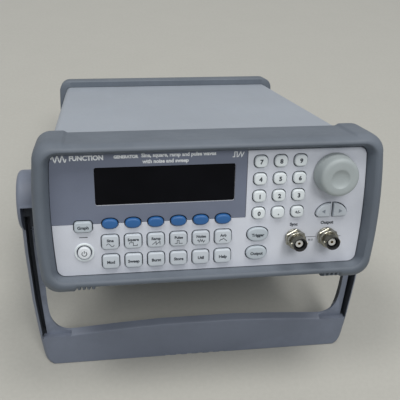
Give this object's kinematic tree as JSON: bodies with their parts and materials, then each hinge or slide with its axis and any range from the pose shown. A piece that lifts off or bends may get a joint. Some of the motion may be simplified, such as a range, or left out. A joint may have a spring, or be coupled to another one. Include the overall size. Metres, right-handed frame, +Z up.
{
  "type": "function generator",
  "caption": "Bench function generator: tilted case with rubber bumpers, swinging carry handle, display, keypad, tuning knob and coaxial connectors.",
  "frame": {"origin": "middle of the bounding box at bench level, with the instrument standing tilted on its handle", "axes": "+X to the right seen from the front, +Y to the back, +Z up; the front panel faces -Y and is tilted up by 20.9 degrees"},
  "size_m": [0.261, 0.3152, 0.1998],
  "materials": {
    "soft_key_1": "moulded blue key",
    "soft_key_2": "moulded blue key",
    "soft_key_3": "moulded blue key",
    "soft_key_4": "moulded blue key",
    "soft_key_5": "moulded blue key",
    "soft_key_6": "moulded blue key",
    "graph_key": "moulded elastomer key",
    "power_key": "moulded elastomer key",
    "sine_key": "moulded elastomer key",
    "square_key": "moulded elastomer key",
    "ramp_key": "moulded elastomer key",
    "pulse_key": "moulded elastomer key",
    "noise_key": "moulded elastomer key",
    "arbitrary_key": "moulded elastomer key",
    "modulation_key": "moulded elastomer key",
    "sweep_key": "moulded elastomer key",
    "burst_key": "moulded elastomer key",
    "store_key": "moulded elastomer key",
    "utility_key": "moulded elastomer key",
    "help_key": "moulded elastomer key",
    "key_0": "moulded elastomer key",
    "key_1": "moulded elastomer key",
    "key_2": "moulded elastomer key",
    "key_3": "moulded elastomer key",
    "key_4": "moulded elastomer key",
    "key_5": "moulded elastomer key",
    "key_6": "moulded elastomer key",
    "key_7": "moulded elastomer key",
    "key_8": "moulded elastomer key",
    "key_9": "moulded elastomer key",
    "point_key": "moulded elastomer key",
    "sign_key": "moulded elastomer key",
    "left_arrow_key": "moulded elastomer key",
    "right_arrow_key": "moulded elastomer key",
    "trigger_key": "moulded elastomer key",
    "output_key": "moulded elastomer key",
    "cover_sleeve": "light grey painted aluminium cover",
    "chassis_tray": "plated sheet steel",
    "front_bezel": "light silver-grey moulding",
    "display_overlay": "dark slate printed overlay",
    "display_window": "black tinted window",
    "display_module": "black display housing",
    "keypad_board": "green circuit board",
    "rotary_encoder": "black encoder body",
    "front_bumper": "slate grey rubber",
    "rear_bumper": "slate grey rubber",
    "left_pivot_hub": "black moulding",
    "right_pivot_hub": "black moulding",
    "main_board": "green circuit board",
    "power_supply": "plated sheet steel box",
    "fan_frame": "black moulding",
    "rear_panel": "plated sheet steel",
    "sync_connector": "nickel plated shell",
    "output_connector": "nickel plated shell",
    "modulation_connector": "nickel plated shell",
    "trigger_connector": "nickel plated shell",
    "power_inlet": "black moulding",
    "tuning_knob": "grey moulded knob",
    "fan_rotor": "black moulding",
    "carry_handle": "slate grey moulding"
  },
  "bodies": {
    "case": {"cover_sleeve": "cover_sleeve", "chassis_tray": "chassis_tray", "front_bezel": "front_bezel", "display_overlay": "display_overlay", "display_window": "display_window", "display_module": "display_module", "keypad_board": "keypad_board", "rotary_encoder": "rotary_encoder", "front_bumper": "front_bumper", "rear_bumper": "rear_bumper", "left_pivot_hub": "left_pivot_hub", "right_pivot_hub": "right_pivot_hub", "main_board": "main_board", "power_supply": "power_supply", "fan_frame": "fan_frame", "rear_panel": "rear_panel", "sync_connector": "sync_connector", "output_connector": "output_connector", "modulation_connector": "modulation_connector", "trigger_connector": "trigger_connector", "power_inlet": "power_inlet"},
    "knob": {"tuning_knob": "tuning_knob"},
    "fan": {"fan_rotor": "fan_rotor"},
    "handle": {"carry_handle": "carry_handle"},
    "soft_key_1_body": {"soft_key_1": "soft_key_1"},
    "soft_key_2_body": {"soft_key_2": "soft_key_2"},
    "soft_key_3_body": {"soft_key_3": "soft_key_3"},
    "soft_key_4_body": {"soft_key_4": "soft_key_4"},
    "soft_key_5_body": {"soft_key_5": "soft_key_5"},
    "soft_key_6_body": {"soft_key_6": "soft_key_6"},
    "graph_key_body": {"graph_key": "graph_key"},
    "power_key_body": {"power_key": "power_key"},
    "sine_key_body": {"sine_key": "sine_key"},
    "square_key_body": {"square_key": "square_key"},
    "ramp_key_body": {"ramp_key": "ramp_key"},
    "pulse_key_body": {"pulse_key": "pulse_key"},
    "noise_key_body": {"noise_key": "noise_key"},
    "arbitrary_key_body": {"arbitrary_key": "arbitrary_key"},
    "modulation_key_body": {"modulation_key": "modulation_key"},
    "sweep_key_body": {"sweep_key": "sweep_key"},
    "burst_key_body": {"burst_key": "burst_key"},
    "store_key_body": {"store_key": "store_key"},
    "utility_key_body": {"utility_key": "utility_key"},
    "help_key_body": {"help_key": "help_key"},
    "key_0_body": {"key_0": "key_0"},
    "key_1_body": {"key_1": "key_1"},
    "key_2_body": {"key_2": "key_2"},
    "key_3_body": {"key_3": "key_3"},
    "key_4_body": {"key_4": "key_4"},
    "key_5_body": {"key_5": "key_5"},
    "key_6_body": {"key_6": "key_6"},
    "key_7_body": {"key_7": "key_7"},
    "key_8_body": {"key_8": "key_8"},
    "key_9_body": {"key_9": "key_9"},
    "point_key_body": {"point_key": "point_key"},
    "sign_key_body": {"sign_key": "sign_key"},
    "left_arrow_key_body": {"left_arrow_key": "left_arrow_key"},
    "right_arrow_key_body": {"right_arrow_key": "right_arrow_key"},
    "trigger_key_body": {"trigger_key": "trigger_key"},
    "output_key_body": {"output_key": "output_key"}
  },
  "joints": [
    {"name": "soft_key_1_press", "type": "slide", "parent": "case", "child": "soft_key_1_body", "axis": [0, 0.9342, -0.3567], "range_m": [0, 0.0012], "stiffness_N_per_m": 600},
    {"name": "soft_key_2_press", "type": "slide", "parent": "case", "child": "soft_key_2_body", "axis": [0, 0.9342, -0.3567], "range_m": [0, 0.0012], "stiffness_N_per_m": 600},
    {"name": "soft_key_3_press", "type": "slide", "parent": "case", "child": "soft_key_3_body", "axis": [0, 0.9342, -0.3567], "range_m": [0, 0.0012], "stiffness_N_per_m": 600},
    {"name": "soft_key_4_press", "type": "slide", "parent": "case", "child": "soft_key_4_body", "axis": [0, 0.9342, -0.3567], "range_m": [0, 0.0012], "stiffness_N_per_m": 600},
    {"name": "soft_key_5_press", "type": "slide", "parent": "case", "child": "soft_key_5_body", "axis": [0, 0.9342, -0.3567], "range_m": [0, 0.0012], "stiffness_N_per_m": 600},
    {"name": "soft_key_6_press", "type": "slide", "parent": "case", "child": "soft_key_6_body", "axis": [0, 0.9342, -0.3567], "range_m": [0, 0.0012], "stiffness_N_per_m": 600},
    {"name": "graph_key_press", "type": "slide", "parent": "case", "child": "graph_key_body", "axis": [0, 0.9342, -0.3567], "range_m": [0, 0.0012], "stiffness_N_per_m": 600},
    {"name": "power_key_press", "type": "slide", "parent": "case", "child": "power_key_body", "axis": [0, 0.9342, -0.3567], "range_m": [0, 0.0012], "stiffness_N_per_m": 600},
    {"name": "sine_key_press", "type": "slide", "parent": "case", "child": "sine_key_body", "axis": [0, 0.9342, -0.3567], "range_m": [0, 0.0012], "stiffness_N_per_m": 600},
    {"name": "square_key_press", "type": "slide", "parent": "case", "child": "square_key_body", "axis": [0, 0.9342, -0.3567], "range_m": [0, 0.0012], "stiffness_N_per_m": 600},
    {"name": "ramp_key_press", "type": "slide", "parent": "case", "child": "ramp_key_body", "axis": [0, 0.9342, -0.3567], "range_m": [0, 0.0012], "stiffness_N_per_m": 600},
    {"name": "pulse_key_press", "type": "slide", "parent": "case", "child": "pulse_key_body", "axis": [0, 0.9342, -0.3567], "range_m": [0, 0.0012], "stiffness_N_per_m": 600},
    {"name": "noise_key_press", "type": "slide", "parent": "case", "child": "noise_key_body", "axis": [0, 0.9342, -0.3567], "range_m": [0, 0.0012], "stiffness_N_per_m": 600},
    {"name": "arbitrary_key_press", "type": "slide", "parent": "case", "child": "arbitrary_key_body", "axis": [0, 0.9342, -0.3567], "range_m": [0, 0.0012], "stiffness_N_per_m": 600},
    {"name": "modulation_key_press", "type": "slide", "parent": "case", "child": "modulation_key_body", "axis": [0, 0.9342, -0.3567], "range_m": [0, 0.0012], "stiffness_N_per_m": 600},
    {"name": "sweep_key_press", "type": "slide", "parent": "case", "child": "sweep_key_body", "axis": [0, 0.9342, -0.3567], "range_m": [0, 0.0012], "stiffness_N_per_m": 600},
    {"name": "burst_key_press", "type": "slide", "parent": "case", "child": "burst_key_body", "axis": [0, 0.9342, -0.3567], "range_m": [0, 0.0012], "stiffness_N_per_m": 600},
    {"name": "store_key_press", "type": "slide", "parent": "case", "child": "store_key_body", "axis": [0, 0.9342, -0.3567], "range_m": [0, 0.0012], "stiffness_N_per_m": 600},
    {"name": "utility_key_press", "type": "slide", "parent": "case", "child": "utility_key_body", "axis": [0, 0.9342, -0.3567], "range_m": [0, 0.0012], "stiffness_N_per_m": 600},
    {"name": "help_key_press", "type": "slide", "parent": "case", "child": "help_key_body", "axis": [0, 0.9342, -0.3567], "range_m": [0, 0.0012], "stiffness_N_per_m": 600},
    {"name": "key_0_press", "type": "slide", "parent": "case", "child": "key_0_body", "axis": [0, 0.9342, -0.3567], "range_m": [0, 0.0012], "stiffness_N_per_m": 600},
    {"name": "key_1_press", "type": "slide", "parent": "case", "child": "key_1_body", "axis": [0, 0.9342, -0.3567], "range_m": [0, 0.0012], "stiffness_N_per_m": 600},
    {"name": "key_2_press", "type": "slide", "parent": "case", "child": "key_2_body", "axis": [0, 0.9342, -0.3567], "range_m": [0, 0.0012], "stiffness_N_per_m": 600},
    {"name": "key_3_press", "type": "slide", "parent": "case", "child": "key_3_body", "axis": [0, 0.9342, -0.3567], "range_m": [0, 0.0012], "stiffness_N_per_m": 600},
    {"name": "key_4_press", "type": "slide", "parent": "case", "child": "key_4_body", "axis": [0, 0.9342, -0.3567], "range_m": [0, 0.0012], "stiffness_N_per_m": 600},
    {"name": "key_5_press", "type": "slide", "parent": "case", "child": "key_5_body", "axis": [0, 0.9342, -0.3567], "range_m": [0, 0.0012], "stiffness_N_per_m": 600},
    {"name": "key_6_press", "type": "slide", "parent": "case", "child": "key_6_body", "axis": [0, 0.9342, -0.3567], "range_m": [0, 0.0012], "stiffness_N_per_m": 600},
    {"name": "key_7_press", "type": "slide", "parent": "case", "child": "key_7_body", "axis": [0, 0.9342, -0.3567], "range_m": [0, 0.0012], "stiffness_N_per_m": 600},
    {"name": "key_8_press", "type": "slide", "parent": "case", "child": "key_8_body", "axis": [0, 0.9342, -0.3567], "range_m": [0, 0.0012], "stiffness_N_per_m": 600},
    {"name": "key_9_press", "type": "slide", "parent": "case", "child": "key_9_body", "axis": [0, 0.9342, -0.3567], "range_m": [0, 0.0012], "stiffness_N_per_m": 600},
    {"name": "point_key_press", "type": "slide", "parent": "case", "child": "point_key_body", "axis": [0, 0.9342, -0.3567], "range_m": [0, 0.0012], "stiffness_N_per_m": 600},
    {"name": "sign_key_press", "type": "slide", "parent": "case", "child": "sign_key_body", "axis": [0, 0.9342, -0.3567], "range_m": [0, 0.0012], "stiffness_N_per_m": 600},
    {"name": "left_arrow_key_press", "type": "slide", "parent": "case", "child": "left_arrow_key_body", "axis": [0, 0.9342, -0.3567], "range_m": [0, 0.0012], "stiffness_N_per_m": 600},
    {"name": "right_arrow_key_press", "type": "slide", "parent": "case", "child": "right_arrow_key_body", "axis": [0, 0.9342, -0.3567], "range_m": [0, 0.0012], "stiffness_N_per_m": 600},
    {"name": "trigger_key_press", "type": "slide", "parent": "case", "child": "trigger_key_body", "axis": [0, 0.9342, -0.3567], "range_m": [0, 0.0012], "stiffness_N_per_m": 600},
    {"name": "output_key_press", "type": "slide", "parent": "case", "child": "output_key_body", "axis": [0, 0.9342, -0.3567], "range_m": [0, 0.0012], "stiffness_N_per_m": 600},
    {"name": "knob_turn", "type": "hinge", "parent": "case", "child": "knob", "pos_m": [0.0823, -0.13044, 0.17711], "axis": [0, 0.9342, -0.3567], "continuous": true},
    {"name": "fan_spin", "type": "hinge", "parent": "case", "child": "fan", "pos_m": [-0.03, 0.11517, 0.05785], "axis": [0, 0.9342, -0.3567], "continuous": true},
    {"name": "handle_swing", "type": "hinge", "parent": "case", "child": "handle", "pos_m": [0, -0.09294, 0.13517], "axis": [1, 0, 0], "range_deg": [-240, 50]}
  ]
}
